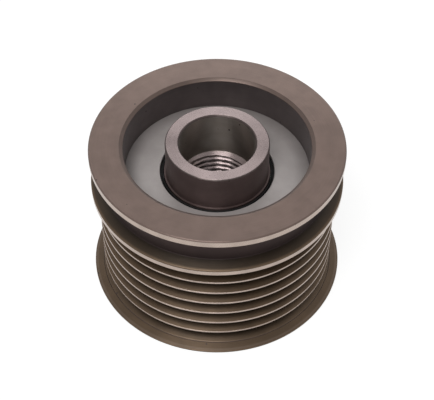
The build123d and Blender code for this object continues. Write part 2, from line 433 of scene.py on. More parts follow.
# %% [markdown]
# `mottle` gives the two scales of a coated surface: a cloud of a few millimetres, where the
# coat took unevenly, and a fine grain. `pits` gives the few small dark specks that the
# photograph shows on the faces: about one cell in seven has a small round spot at its middle,
# and it shows where the surface cuts through it.

# %% Mottle and pits
def build_mottle():
    inputs = [("Cloud Scale", FLOAT, 160.0), ("Grain Scale", FLOAT, 2600.0)]
    outputs = [("Cloud", FLOAT, None), ("Grain", FLOAT, None)]
    tree, given, result = new_tree("mottle", "ShaderNodeTree", inputs, outputs)
    place = add(tree, "ShaderNodeTexCoord").outputs["Object"]
    for name, detail in (("Cloud", 4.0), ("Grain", 2.0)):
        noise = {"Vector": place, "Scale": given[name + " Scale"], "Detail": detail}
        tree.links.new(add(tree, "ShaderNodeTexNoise", noise).outputs["Fac"], result[name])
    return tree


def build_pits():
    inputs = [("Cells per Metre", FLOAT, 420.0), ("Share", FLOAT, 0.15), ("Size", FLOAT, 0.09)]
    tree, given, result = new_tree("pits", "ShaderNodeTree", inputs, MASK_OUT)
    place = add(tree, "ShaderNodeTexCoord").outputs["Object"]
    cells = add(tree, "ShaderNodeTexVoronoi", {"Vector": place, "Scale": given["Cells per Metre"]})
    lot = add(tree, "ShaderNodeSeparateColor", {0: cells.outputs["Color"]}).outputs[0]
    chosen = calculate(tree, "LESS_THAN", lot, given["Share"])
    near = calculate(tree, "LESS_THAN", cells.outputs["Distance"], given["Size"])
    tree.links.new(calculate(tree, "MULTIPLY", chosen, near), result["Mask"])
    return tree


MOTTLE = build_mottle()
PITS = build_pits()

# %% Helpers for materials
# Noise keeps near the middle of 0 to 1, so a ramp over it starts and ends inside that range
WIDE_RANGE = (0.2, 0.8)
FULL_RANGE = (0.25, 0.75)
NARROW_RANGE = (0.3, 0.7)
QUARTER_TURN = 0.25


def new_material(name):
    material = bpy.data.materials.new(name)
    material.use_nodes = True
    tree = material.node_tree
    return material, tree, tree.nodes["Principled BSDF"]


def effect(tree, group, **values):
    node = add(tree, "ShaderNodeGroup", node_tree=group)
    for key, value in values.items():
        node.inputs[key.replace("_", " ")].default_value = value
    return node.outputs


def bump(tree, surface, height, distance):
    node = add(tree, "ShaderNodeBump", {"Height": height, "Distance": distance})
    tree.links.new(node.outputs[0], surface.inputs["Normal"])


def round_the_axis(tree, surface, amount):
    # Rings from the lathe scatter light across themselves, so a turned face shows a streak
    place = add(tree, "ShaderNodeTexCoord").outputs["Object"]
    along = calculate_vector(tree, "CROSS_PRODUCT", (0, 0, 1), place)[0]
    turned = add(
        tree,
        "ShaderNodeVectorTransform",
        {0: along},
        vector_type="VECTOR",
        convert_from="OBJECT",
        convert_to="WORLD",
    )
    tree.links.new(turned.outputs[0], surface.inputs["Tangent"])
    surface.inputs["Anisotropic"].default_value = amount
    surface.inputs["Anisotropic Rotation"].default_value = QUARTER_TURN


# %% [markdown]
# The turned steel of rim and hub is one recipe with two sets of colours. The finish mark on the
# mesh picks the colour: brown where it is 0, the worn tint between 0 and 1, ground steel at 1,
# a greyer brown just below 0 for the recess wall, and further down a painted shade on the wide
# groove's floor or the honed bore. The worn tint is olive on the rim and nearly black on the hub,
# where it is painted shade on the chamfered edges and the thread. A steep ramp near 1 keeps the
# ground steel to the land itself. The painted shade mark takes the value down in the roots,
# corners and the recess, where shade falls. Clouds and rings change it a little, never the look
# from a step away.

# %% Turned steel
SteelColors = namedtuple("SteelColors", "brown worn shaded deep ground")
RIM_COLORS = SteelColors(
    brown=(0.135, 0.094, 0.079, 1),
    worn=(0.104, 0.067, 0.039, 1),
    shaded=(0.140, 0.115, 0.114, 1),
    # The rim's deep colour is painted shade on the wide groove's floor
    deep=(0.054, 0.032, 0.029, 1),
    ground=(0.450, 0.365, 0.315, 1),
)
HUB_COLORS = SteelColors(
    brown=(0.112, 0.076, 0.071, 1),
    # The hub's worn colour is painted shade on the chamfered edges and the thread's flanks
    worn=(0.060, 0.044, 0.040, 1),
    shaded=(0.112, 0.090, 0.088, 1),
    deep=(0.300, 0.265, 0.235, 1),
    ground=(0.250, 0.202, 0.198, 1),
)
# Dark specks of the pits, also the colour of the painted shade on the covers
PIT_AND_SHADE_COLOR = (0.030, 0.022, 0.020, 1)
GROUND_STARTS = 0.99
WORN_AND_SHADE_FULL = 0.35
SHADED_FULL = 0.4
DEEP_FULL = 0.8
CLOUD_VALUES = (0.90, 1.09)
RING_VALUES = (0.95, 1.05)
GRAIN_ROUGHNESS = (-0.04, 0.04)
GRAIN_HEIGHT = 0.3
Shine = namedtuple("Shine", "rough metal")


def mark_in_shader(tree, name):
    return add(tree, "ShaderNodeAttribute", attribute_name=name).outputs["Fac"]


def build_turned_steel(name, colors, coat, deep, ground, streak, mark_depth):
    material, tree, surface = new_material(name)
    marks = effect(tree, LATHE_MARKS, Rings_per_Metre=5200.0, Drift=1.2)["Mask"]
    mottle = effect(tree, MOTTLE, Cloud_Scale=300.0, Grain_Scale=3600.0)
    pits = effect(tree, PITS)["Mask"]
    finish = mark_in_shader(tree, "finish")
    is_ground = ramp(tree, finish, GROUND_STARTS, GROUND)
    is_worn_and_shade = ramp(tree, finish, BROWN, WORN_AND_SHADE_FULL)
    below_brown = calculate(tree, "MULTIPLY", finish, -1.0)
    is_shaded = ramp(tree, below_brown, BROWN, SHADED_FULL)
    is_deep = ramp(tree, below_brown, SHADED_FULL, DEEP_FULL)

    color = mix_colors(tree, is_worn_and_shade, colors.brown, colors.worn)
    color = mix_colors(tree, is_shaded, color, colors.shaded)
    color = mix_colors(tree, is_deep, color, colors.deep)
    color = mix_colors(tree, is_ground, color, colors.ground)
    cloud = ramp(tree, mottle["Cloud"], *FULL_RANGE, *CLOUD_VALUES)
    rings = ramp(tree, marks, *WIDE_RANGE, *RING_VALUES)
    # Painted shade: the mark takes the value down in roots, corners and the recess
    unshaded = calculate(tree, "SUBTRACT", 1.0, mark_in_shader(tree, "grime"))
    value = calculate(tree, "MULTIPLY", calculate(tree, "MULTIPLY", cloud, rings), unshaded)
    shaded = add(tree, "ShaderNodeHueSaturation", {"Value": value, "Color": color}).outputs[0]
    pitted = mix_colors(tree, pits, shaded, PIT_AND_SHADE_COLOR)
    tree.links.new(pitted, surface.inputs["Base Color"])

    grain = ramp(tree, mottle["Grain"], *FULL_RANGE, *GRAIN_ROUGHNESS)
    coat_rough = blend(tree, is_deep, coat.rough, deep.rough)
    coat_metal = blend(tree, is_deep, coat.metal, deep.metal)
    rough = blend(tree, is_ground, coat_rough, ground.rough)
    metal = blend(tree, is_ground, coat_metal, ground.metal)
    tree.links.new(calculate(tree, "ADD", rough, grain), surface.inputs["Roughness"])
    tree.links.new(metal, surface.inputs["Metallic"])
    grain_height = calculate(tree, "MULTIPLY", mottle["Grain"], GRAIN_HEIGHT)
    bump(tree, surface, calculate(tree, "ADD", marks, grain_height), mark_depth)
    round_the_axis(tree, surface, streak)
    return material


RIM_STEEL = build_turned_steel(
    "browned_rim_steel",
    RIM_COLORS,
    coat=Shine(0.36, 0.6),
    deep=Shine(0.50, 0.6),
    ground=Shine(0.28, 0.9),
    streak=0.4,
    mark_depth=0.0007 * MM,
)
HUB_STEEL = build_turned_steel(
    "browned_hub_steel",
    HUB_COLORS,
    coat=Shine(0.36, 0.6),
    deep=Shine(0.34, 1.0),
    ground=Shine(0.30, 0.9),
    streak=0.89,
    mark_depth=0.0003 * MM,
)

# %% [markdown]
# The covers are pressed from sheet with a dull zinc coat: neutral grey, softer in its shine
# than the turned pieces, with a faint spangle and no rings. A painted shade darkens each cover
# towards the corner where it meets the rim.

# %% Zinc grey of the covers
ZINC_DARK = (0.330, 0.300, 0.290, 1)
ZINC_LIGHT = (0.370, 0.337, 0.327, 1)
ZINC_ROUGHNESS = (0.42, 0.50)
ZINC_METAL = 0.2


def build_zinc():
    material, tree, surface = new_material("cover_zinc")
    mottle = effect(tree, MOTTLE, Cloud_Scale=260.0, Grain_Scale=4200.0)
    clouds = ramp(tree, mottle["Cloud"], *NARROW_RANGE)
    shade = mix_colors(tree, clouds, ZINC_DARK, ZINC_LIGHT)
    # Painted shade near the rim wall mixes the zinc towards the dark pit colour
    shade_near_rim = mix_colors(tree, mark_in_shader(tree, "grime"), shade, PIT_AND_SHADE_COLOR)
    tree.links.new(shade_near_rim, surface.inputs["Base Color"])
    rough = ramp(tree, mottle["Grain"], *FULL_RANGE, *ZINC_ROUGHNESS)
    tree.links.new(rough, surface.inputs["Roughness"])
    surface.inputs["Metallic"].default_value = ZINC_METAL
    bump(tree, surface, mottle["Grain"], distance=0.002 * MM)
    return material


COVER_ZINC = build_zinc()

# %% [markdown]
# Rubber, cages and springs share one plain recipe: two colours that meet in clouds, and a
# roughness that follows the grain. Seal rubber is nearly black: partly its own colour, partly
# painted shade for the gap round the hub. It isn't metal, and its matt skin has a weak shine, so
# that the gap round the hub stays the darkest ring of the whole pulley.

# %% A plain mottled finish, and seal rubber
def build_mottled(name, clouds, grains, dark, light, roughness, grain_depth=None, **plain):
    material, tree, surface = new_material(name)
    mottle = effect(tree, MOTTLE, Cloud_Scale=clouds, Grain_Scale=grains)
    shade = mix_colors(tree, mottle["Cloud"], dark, light)
    tree.links.new(shade, surface.inputs["Base Color"])
    rough = ramp(tree, mottle["Grain"], *FULL_RANGE, *roughness)
    tree.links.new(rough, surface.inputs["Roughness"])
    for key, value in plain.items():
        surface.inputs[key.replace("_", " ")].default_value = value
    if grain_depth:
        bump(tree, surface, mottle["Grain"], grain_depth)
    return material


SEAL_RUBBER = build_mottled(
    "seal_rubber",
    clouds=300.0,
    grains=5000.0,
    # Near black: the rubber's own colour with painted shade for the gap round the hub
    dark=(0.004, 0.004, 0.004, 1),
    light=(0.009, 0.008, 0.008, 1),
    roughness=(0.50, 0.68),
    grain_depth=0.004 * MM,
    Specular_IOR_Level=0.2,
)

# %% [markdown]
# ## The rim
# The rim's outside follows a rule: one V groove, repeated. So the outline tree makes the
# grooves from a line of points, four to a groove, whose radius and height follow from each
# point's number. The corners of the flanges, the wide groove and the inside are drawn one by one
# in the outline object, and the `order` mark puts the made points in between them.

# %% The tree of the grooved rim
CORNERS_PER_GROOVE = 4.0
MIDDLE_CORNER = 1.5
MADE_CORNERS_FROM = 100.0
CREST_ROUNDING = 0.03 * MM
ROOT_ROUNDING = 0.25 * MM
# Painted shade deep in the V grooves' roots, and lighter on the front flange
ROOT_SHADE = 0.90
FLANGE_SHADE = 0.20


def store_marks(tree, geometry, marks):
    for name, value in marks.items():
        inputs = {"Geometry": geometry, "Name": name, "Value": value}
        kind = "GeometryNodeStoreNamedAttribute"
        geometry = add(tree, kind, inputs, data_type="FLOAT", domain="POINT").outputs[0]
    return geometry


def build_rim_tree():
    sizes = [
        ("Groove Count", INT, GROOVE_COUNT),
        ("Groove Pitch", FLOAT, GROOVE_PITCH),
        ("First Groove", FLOAT, 0.0),
        ("Crest Radius", FLOAT, CREST_RADIUS),
        ("Groove Depth", FLOAT, GROOVE_DEPTH),
        ("Half Mouth", FLOAT, 0.0),
        ("Half Root", FLOAT, 0.0),
        ("Crest Rounding", FLOAT, CREST_ROUNDING),
        ("Root Rounding", FLOAT, ROOT_ROUNDING),
    ]
    inputs = TURNING_INPUTS + sizes
    tree, given, result = new_tree("grooved rim", "GeometryNodeTree", inputs, GEOMETRY_OUT)
    count = calculate(tree, "MULTIPLY", given["Groove Count"], CORNERS_PER_GROOVE)
    line = add(tree, "GeometryNodeMeshLine", {"Count": count}).outputs[0]
    index = add(tree, "GeometryNodeInputIndex").outputs[0]
    corner = calculate(tree, "MODULO", index, CORNERS_PER_GROOVE)
    groove = calculate(tree, "FLOOR", calculate(tree, "DIVIDE", index, CORNERS_PER_GROOVE))
    # Of a groove's four corners, the outer two lie at the crests and the inner two at the root
    from_middle = calculate(tree, "SUBTRACT", corner, MIDDLE_CORNER)
    side = calculate(tree, "SIGN", from_middle)
    at_crest = calculate(tree, "GREATER_THAN", calculate(tree, "ABSOLUTE", from_middle), 1.0)
    crest = given["Crest Radius"]
    root = calculate(tree, "SUBTRACT", crest, given["Groove Depth"])
    radius = blend(tree, at_crest, root, crest)
    half = blend(tree, at_crest, given["Half Root"], given["Half Mouth"])
    steps_up = calculate(tree, "MULTIPLY", groove, given["Groove Pitch"])
    middle = calculate(tree, "ADD", given["First Groove"], steps_up)
    level = calculate(tree, "ADD", middle, calculate(tree, "MULTIPLY", side, half))
    place = add(tree, "ShaderNodeCombineXYZ", {"X": radius, "Y": level}).outputs[0]
    placed = add(tree, "GeometryNodeSetPosition", {"Geometry": line, "Position": place}).outputs[0]
    # The very first crest belongs to the front flange, which keeps its coat and a light painted
    # shade
    is_flange = calculate(tree, "LESS_THAN", index, 0.5)
    crest_finish = blend(tree, is_flange, GROUND, WORN_AND_SHADE)
    crest_shade = blend(tree, is_flange, 0.0, FLANGE_SHADE)
    marks = {
        "rounding": blend(tree, at_crest, given["Root Rounding"], given["Crest Rounding"]),
        "finish": blend(tree, at_crest, WORN_AND_SHADE, crest_finish),
        "grime": blend(tree, at_crest, ROOT_SHADE, crest_shade),
        "order": calculate(tree, "ADD", index, MADE_CORNERS_FROM),
    }
    made = store_marks(tree, placed, marks)
    joined = add(tree, "GeometryNodeJoinGeometry")
    for geometry in (made, given["Outline"]):
        tree.links.new(geometry, joined.inputs[0])
    skin = turn_in(tree, joined.outputs[0], given)
    finish_tree(tree, skin, given["Material"], result)
    return tree


GROOVED = build_rim_tree()

# %% [markdown]
# The corners are listed from the front edge round the outside to the rear edge, then down the
# inside. The lands of the two rear rims are ground bright. The groove between them takes a
# painted shade on its floor and low on its flank, and its lower flank has the worn tint. The
# small chamfer above the rear land keeps the brown coat. A fine scored line runs round the front
# flange, and a band at the flange's edge is rubbed. The flange takes a light painted shade.

# %% Corners of the rim's outside
HALF_MOUTH = (GROOVE_PITCH - CREST_LAND) / 2
HALF_ROOT = HALF_MOUTH - GROOVE_DEPTH * math.tan(FLANK)
FIRST_GROOVE = FRONT_RIM_LAND + FRONT_RIM_FALL + HALF_MOUTH
SECOND_RIM_LOW = FIRST_GROOVE + (GROOVE_COUNT - 1) * GROOVE_PITCH + HALF_MOUTH + SECOND_RIM_FALL
WIDE_GROOVE_LOW = SECOND_RIM_LOW + SECOND_RIM_LAND
WIDE_GROOVE_HIGH = RIM_HEIGHT - REAR_RIM_LAND
WIDE_GROOVE_RADIUS = REAR_RIM_RADIUS - WIDE_GROOVE_DEPTH
WIDE_FLANK_FALL = WIDE_GROOVE_DEPTH * math.tan(FLANK)
WIDE_ROOT_ROUNDING = 0.05 * MM
EDGE = 0.12 * MM
SMALL_EDGE = 0.06 * MM
SHARP_EDGE = 0.04 * MM
OLIVE_INSET = 0.25 * MM
BAND_WIDTH = 0.7 * MM
# Painted shade on the wide groove's floor, and on its lower flank as (share, shade) pairs
GROOVE_FLOOR_SHADE = 0.45
FLANK_SHADE = ((0.77, 0.62), (0.06, 0.80))
CONE_START = 0.1
SCORE_RADIUS = CREST_RADIUS + 0.22 * MM
SCORE_WIDTH = 0.14 * MM
SCORE_DEPTH = 0.10 * MM


def flange_level(radius):
    share = (radius - CREST_RADIUS) / (FRONT_RIM_RADIUS - CREST_RADIUS)
    return FRONT_RIM_LAND + FRONT_RIM_FALL * (1 - share)


def flange_corner(radius, finish, drop=0.0):
    return Corner(radius, flange_level(radius) - drop, 0, finish, grime=FLANGE_SHADE)


def cone_corner(share, finish):
    radius = CREST_RADIUS + share * (REAR_RIM_RADIUS - CREST_RADIUS)
    return Corner(radius, SECOND_RIM_LOW - (1 - share) * SECOND_RIM_FALL, 0, finish)


def wide_flank_corner(share, grime):
    radius = WIDE_GROOVE_RADIUS + share * WIDE_GROOVE_DEPTH
    level = WIDE_GROOVE_LOW + (1 - share) * WIDE_FLANK_FALL
    return Corner(radius, level, 0, WORN_AND_SHADE, grime=grime)


wide_floor_low = WIDE_GROOVE_LOW + WIDE_FLANK_FALL
wide_floor_high = WIDE_GROOVE_HIGH - WIDE_FLANK_FALL
front_corners = [
    Corner(FRONT_RIM_RADIUS, 0, EDGE, WORN_AND_SHADE),
    Corner(FRONT_RIM_RADIUS, FRONT_RIM_LAND, SMALL_EDGE, WORN_AND_SHADE),
    flange_corner(FRONT_RIM_RADIUS - 2 * EDGE, RUBBED),
    flange_corner(FRONT_RIM_RADIUS - BAND_WIDTH, RUBBED),
    flange_corner(FRONT_RIM_RADIUS - BAND_WIDTH - EDGE, WORN_AND_SHADE),
    flange_corner(SCORE_RADIUS + SCORE_WIDTH, WORN_AND_SHADE),
    flange_corner(SCORE_RADIUS + SCORE_WIDTH / 2, DEEP_SHADE_AND_HONE, SCORE_DEPTH),
    flange_corner(SCORE_RADIUS, WORN_AND_SHADE),
]
rear_corners = [
    cone_corner(CONE_START, BROWN),
    Corner(REAR_RIM_RADIUS, SECOND_RIM_LOW, SHARP_EDGE, BROWN),
    Corner(REAR_RIM_RADIUS, SECOND_RIM_LOW + SHARP_EDGE, 0, GROUND),
    Corner(REAR_RIM_RADIUS, WIDE_GROOVE_LOW - OLIVE_INSET, 0, GROUND),
    Corner(REAR_RIM_RADIUS, WIDE_GROOVE_LOW, EDGE, WORN_AND_SHADE),
    *(wide_flank_corner(share, grime) for share, grime in FLANK_SHADE),
    Corner(WIDE_GROOVE_RADIUS, wide_floor_low, WIDE_ROOT_ROUNDING, DEEP_SHADE_AND_HONE, grime=GROOVE_FLOOR_SHADE),
    Corner(WIDE_GROOVE_RADIUS, wide_floor_high, WIDE_ROOT_ROUNDING, DEEP_SHADE_AND_HONE),
    Corner(REAR_RIM_RADIUS, WIDE_GROOVE_HIGH, SHARP_EDGE, BROWN),
    Corner(REAR_RIM_RADIUS, WIDE_GROOVE_HIGH + SHARP_EDGE, 0, GROUND),
    Corner(REAR_RIM_RADIUS, RIM_HEIGHT - REAR_RIM_CHAMFER - SMALL_EDGE, 0, GROUND),
    Corner(REAR_RIM_RADIUS, RIM_HEIGHT - REAR_RIM_CHAMFER, SMALL_EDGE, BROWN),
    Corner(REAR_RIM_RADIUS - REAR_RIM_CHAMFER, RIM_HEIGHT, EDGE, BROWN),
]

# %% Corners of the rim's inside, and the turned rim
MOUTH_WIDTH = 0.8 * MM
MOUTH_DEPTH = 0.45 * MM
FRONT_MOUTH = 0.5 * MM
# Painted shade on the recess mouth's chamfer and down the recess wall
MOUTH_SHADE = 0.26
RECESS_SHADE = 0.22
inside_corners = [
    Corner(RECESS_RADIUS + MOUTH_WIDTH + EDGE, RIM_HEIGHT, 0, BROWN),
    Corner(RECESS_RADIUS + MOUTH_WIDTH, RIM_HEIGHT, EDGE, grime=MOUTH_SHADE),
    Corner(RECESS_RADIUS, RIM_HEIGHT - MOUTH_DEPTH, EDGE, grime=MOUTH_SHADE),
    Corner(RECESS_RADIUS, RIM_HEIGHT - MOUTH_DEPTH - EDGE, 0, SHADED, grime=RECESS_SHADE),
    Corner(RECESS_RADIUS, REAR_COVER_LOW, SMALL_EDGE, SHADED, grime=RECESS_SHADE),
    Corner(HOUSING_RADIUS, REAR_COVER_LOW, SMALL_EDGE),
    Corner(HOUSING_RADIUS, FRONT_COVER_HIGH, SMALL_EDGE),
    Corner(RECESS_RADIUS, FRONT_COVER_HIGH, SMALL_EDGE),
    Corner(RECESS_RADIUS, FRONT_MOUTH, EDGE),
    Corner(RECESS_RADIUS + FRONT_MOUTH, 0, EDGE),
    Corner(FRONT_RIM_RADIUS - 2 * EDGE, 0, 0, BROWN),
]
after_the_grooves = MADE_CORNERS_FROM + CORNERS_PER_GROOVE * GROOVE_COUNT
last_corners = [
    corner._replace(order=after_the_grooves + index)
    for index, corner in enumerate(rear_corners + inside_corners)
]
groove_sizes = {
    "First Groove": FIRST_GROOVE,
    "Half Mouth": HALF_MOUTH,
    "Half Root": HALF_ROOT,
}
turned_piece(
    "grooved_rim",
    front_corners + last_corners,
    "pulley",
    "pulley_rim",
    "browned_steel",
    RIM_STEEL,
    GROOVED,
    **groove_sizes,
)

# %% [markdown]
# ## The hub
# The hub is turned like the rest, and then cut: a thread inside and a ring of V teeth in the
# front socket. Both follow a rule in the angle and the height, so a second tree moves the
# points marked for a cut. A thread point goes out to the 60 degree thread form, if that lies
# outside the bore it was on, so the thread runs into the cone above it as a real tap leaves it.

# %% The tree of the threaded hub
THREAD_CUT = 1.0
TOOTH_CUT = 2.0
CREST_FROM_ROOT = 0.375
ROOT_HALF_WIDTH = 0.0625
ROOT_PHASE = 0.5
THREAD_START = 0.37
THREAD_SHINE_RANGE = (0.10, 0.45)
CUT_TOLERANCE = 0.25


def build_hub_tree():
    sizes = [
        ("Thread Pitch", FLOAT, THREAD_PITCH),
        ("Thread Depth", FLOAT, THREAD_DEPTH),
        ("Thread Outer Radius", FLOAT, THREAD_RADIUS),
        ("Thread Start", FLOAT, THREAD_START),
        ("Socket Teeth", INT, SOCKET_TEETH),
        ("Tooth Depth", FLOAT, SOCKET_TOOTH_DEPTH),
    ]
    inputs = TURNING_INPUTS + sizes
    tree, given, result = new_tree("threaded hub", "GeometryNodeTree", inputs, GEOMETRY_OUT)
    skin = turn_in(tree, given["Outline"], given)
    place = position_parts(tree)
    radius = calculate_vector(tree, "LENGTH", flatten(tree, place))["Value"]
    radians = calculate(tree, "ARCTAN2", place["Y"], place["X"])
    angle = calculate(tree, "DIVIDE", radians, 2 * math.pi)
    turns_up = calculate(tree, "DIVIDE", place["Z"], given["Thread Pitch"])
    started = calculate(tree, "ADD", turns_up, given["Thread Start"])
    phase = calculate(tree, "FRACT", calculate(tree, "SUBTRACT", started, angle))
    past_root = calculate(tree, "SUBTRACT", phase, ROOT_PHASE)
    from_root = calculate(tree, "ABSOLUTE", past_root)
    form = {"Value": from_root, "From Min": ROOT_HALF_WIDTH, "From Max": CREST_FROM_ROOT}
    rising = add(tree, "ShaderNodeMapRange", form).outputs["Result"]
    inwards = calculate(tree, "MULTIPLY", rising, given["Thread Depth"])
    thread = calculate(tree, "SUBTRACT", given["Thread Outer Radius"], inwards)
    threaded = calculate(tree, "MAXIMUM", thread, radius)
    teeth_round = calculate(tree, "MULTIPLY", angle, given["Socket Teeth"])
    tooth_phase = calculate(tree, "FRACT", teeth_round)
    # Ping-pong rises for half a tooth and falls for the other half; doubled, it runs from 0 to 1
    half_tooth = calculate(tree, "PINGPONG", tooth_phase, 0.5)
    tooth = calculate(tree, "MULTIPLY", half_tooth, 2.0)
    toothed = calculate(tree, "MULTIPLY_ADD", tooth, given["Tooth Depth"], radius)
    cut = mark_of(tree, "cut")
    is_thread = calculate(tree, "COMPARE", cut, THREAD_CUT, CUT_TOLERANCE)
    is_tooth = calculate(tree, "COMPARE", cut, TOOTH_CUT, CUT_TOLERANCE)
    bored = blend(tree, is_thread, radius, threaded)
    cut_radius = blend(tree, is_tooth, bored, toothed)
    # Between root and crest the thread passes the hub's near-black worn colour: painted shade
    thread_finish = ramp(tree, rising, *THREAD_SHINE_RANGE, BROWN, GROUND)
    finish = blend(tree, is_thread, mark_of(tree, "finish"), thread_finish)
    marked = store_marks(tree, skin, {"finish": finish})
    stretch = calculate(tree, "DIVIDE", cut_radius, radius)
    x, y = (calculate(tree, "MULTIPLY", place[axis], stretch) for axis in ("X", "Y"))
    moved = add(tree, "ShaderNodeCombineXYZ", {"X": x, "Y": y, "Z": place["Z"]}).outputs[0]
    carried = {"Geometry": marked, "Position": moved}
    cut_skin = add(tree, "GeometryNodeSetPosition", carried).outputs[0]
    finish_tree(tree, cut_skin, given["Material"], result)
    return tree


THREADED = build_hub_tree()

# %% [markdown]
# The outline needs many corners where the thread runs, sixteen to a turn of the thread, because
# a corner can only be moved if it is there. They come from a loop. The hub has 264 steps round
# the axis, eight to each tooth, so that every tooth gets its own tip.

# %% Corners of the thread
SOCKET_HIGH = HUB_FRONT + SOCKET_DEPTH
BORE_FLOOR = HUB_REAR - PILOT_DEPTH
MINOR_RADIUS = THREAD_RADIUS - THREAD_DEPTH
CONE_FALL = 0.6 * MM
SOCKET_FALL = 0.8 * MM
SOCKET_RIM = 0.05 * MM
STEPS_PER_TURN = 16
STEPS_PER_TOOTH = 8


def stepped(first, last, step):
    count = max(1, round(math.dist(first, last) / step))
    for index in range(1, count + 1):
        share = index / count
        yield tuple(a + (b - a) * share for a, b in zip(first, last))


def thread_corners():
    stations = [
        (PILOT_RADIUS, BORE_FLOOR),
        (MINOR_RADIUS, BORE_FLOOR - CONE_FALL),
        (MINOR_RADIUS, SOCKET_HIGH + SOCKET_FALL),
        (SOCKET_RADIUS - SOCKET_RIM, SOCKET_HIGH),
    ]
    corners = []
    for first, last in zip(stations, stations[1:]):
        corners += stepped(first, last, THREAD_PITCH / STEPS_PER_TURN)
    return [Corner(radius, level, 0, GROUND, THREAD_CUT) for radius, level in corners[:-1]]


print("corners along the thread:", len(thread_corners()))

# %% Turn the hub
NOSE_CHAMFER = 0.25 * MM
MOUTH_CHAMFER = 0.35 * MM
STEP_LEVEL = REAR_COVER_HIGH - NOSE_STEP_SETBACK
STEP_EDGE = 0.03 * MM
# Painted shade on the small step at the foot of the hub's nose
STEP_SHADE = 0.25
HONED = DEEP_SHADE_AND_HONE
HONE_INSET = 0.15 * MM
hub_corners = [
    Corner(COLLAR_RADIUS, HUB_FRONT, EDGE),
    Corner(COLLAR_RADIUS, FRONT_BEARING_LOW, SMALL_EDGE),
    Corner(SEAT_RADIUS, FRONT_BEARING_LOW, SMALL_EDGE),
    Corner(SEAT_RADIUS, STEP_LEVEL, STEP_EDGE, grime=STEP_SHADE),
    Corner(NOSE_RADIUS, STEP_LEVEL, STEP_EDGE, grime=STEP_SHADE),
    Corner(NOSE_RADIUS, STEP_LEVEL + SHARP_EDGE, 0),
    Corner(NOSE_RADIUS, HUB_REAR - NOSE_CHAMFER - SHARP_EDGE, 0),
    # The nose chamfer and the bore mouth take the hub's near-black worn colour: painted shade
    Corner(NOSE_RADIUS, HUB_REAR - NOSE_CHAMFER, SHARP_EDGE, WORN_AND_SHADE),
    Corner(NOSE_RADIUS - NOSE_CHAMFER, HUB_REAR, EDGE, GROUND),
    Corner(PILOT_RADIUS + MOUTH_CHAMFER, HUB_REAR, EDGE, GROUND),
    Corner(PILOT_RADIUS, HUB_REAR - MOUTH_CHAMFER, EDGE, WORN_AND_SHADE),
    Corner(PILOT_RADIUS, HUB_REAR - MOUTH_CHAMFER - HONE_INSET, 0, HONED),
    Corner(PILOT_RADIUS, BORE_FLOOR, 0, HONED),
    *thread_corners(),
    Corner(SOCKET_RADIUS - SOCKET_RIM, SOCKET_HIGH),
    Corner(SOCKET_RADIUS, SOCKET_HIGH, 0, BROWN, TOOTH_CUT),
    Corner(SOCKET_RADIUS, HUB_FRONT, 0, BROWN, TOOTH_CUT),
]
turned_piece(
    "threaded_hub",
    hub_corners,
    "hub",
    "hub_sleeve",
    "browned_steel",
    HUB_STEEL,
    THREADED,
    Segments=STEPS_PER_TOOTH * SOCKET_TEETH,
)

# %% [markdown]
# ## Covers and seals
# The covers are plain discs whose edges are blunted. Each seal has a lip that stands up in the
# gap between its cover and the hub. Only the rounded end of the lip shows.

# %% Turn the covers
COVER_EDGE = 0.10 * MM
COVER_HOLE_EDGE = 0.20 * MM
# Painted shade on each cover next to the rim wall, fading out over this width
COVER_SHADE = 0.45
SHADE_WIDTH = 3.5 * MM
REAR_COVER_HOLE = SEAT_RADIUS + 0.9 * MM
FRONT_COVER_HOLE = COLLAR_RADIUS + 1.0 * MM


def disc_corners(hole, inner_face, outer_face):
    return [
        Corner(hole, inner_face, COVER_EDGE),
        Corner(RECESS_RADIUS, inner_face, COVER_EDGE),
        Corner(RECESS_RADIUS, outer_face, COVER_EDGE, grime=COVER_SHADE),
        Corner(RECESS_RADIUS - SHADE_WIDTH, outer_face, 0),
        Corner(hole, outer_face, COVER_HOLE_EDGE),
    ]


turned_piece(
    "rear_cover_disc",
    disc_corners(REAR_COVER_HOLE, REAR_COVER_LOW, REAR_COVER_HIGH),
    "pulley",
    "rear_cover_plate",
    "cover_steel",
    COVER_ZINC,
)
turned_piece(
    "front_cover_disc",
    disc_corners(FRONT_COVER_HOLE, FRONT_COVER_HIGH, FRONT_COVER_LOW),
    "pulley",
    "front_cover_plate",
    "cover_steel",
    COVER_ZINC,
)

# %% Turn the seals
LIP_GAP = 0.1 * MM
LIP_WIDTH = 0.35 * MM
LIP_REACH = 0.6 * MM
LIP_RELIEF = 0.5 * MM
LIP_ROUNDING = 0.16 * MM
RACE_RADIUS = SEAT_RADIUS + 2.4 * MM


def seal_corners(lip, back, face, outwards):
    tip = face + outwards * LIP_REACH
    return [
        Corner(HOUSING_RADIUS, back, SMALL_EDGE),
        Corner(HOUSING_RADIUS, face, SMALL_EDGE),
        Corner(lip + LIP_WIDTH, face, SMALL_EDGE),
        Corner(lip + LIP_WIDTH, tip, LIP_ROUNDING),
        Corner(lip, tip, LIP_ROUNDING),
        Corner(lip, face - outwards * LIP_RELIEF, SMALL_EDGE),
        Corner(RACE_RADIUS, back, SMALL_EDGE),
    ]


turned_piece(
    "rear_seal_ring",
    seal_corners(SEAT_RADIUS + LIP_GAP, REAR_BEARING_HIGH, REAR_COVER_LOW, 1),
    "pulley",
    "rear_lip_seal",
    "seal_rubber",
    SEAL_RUBBER,
)
turned_piece(
    "front_seal_ring",
    seal_corners(COLLAR_RADIUS + LIP_GAP, FRONT_BEARING_LOW, FRONT_COVER_HIGH, -1),
    "pulley",
    "front_lip_seal",
    "seal_rubber",
    SEAL_RUBBER,
)

# %% [markdown]
# ## The pieces inside
# The bearing and clutch pieces are right in shape as the CAD model gives them, so they stay and
# get their finishes: ground bearing steel, moulded black cages, and spring strip with a straw
# tint.

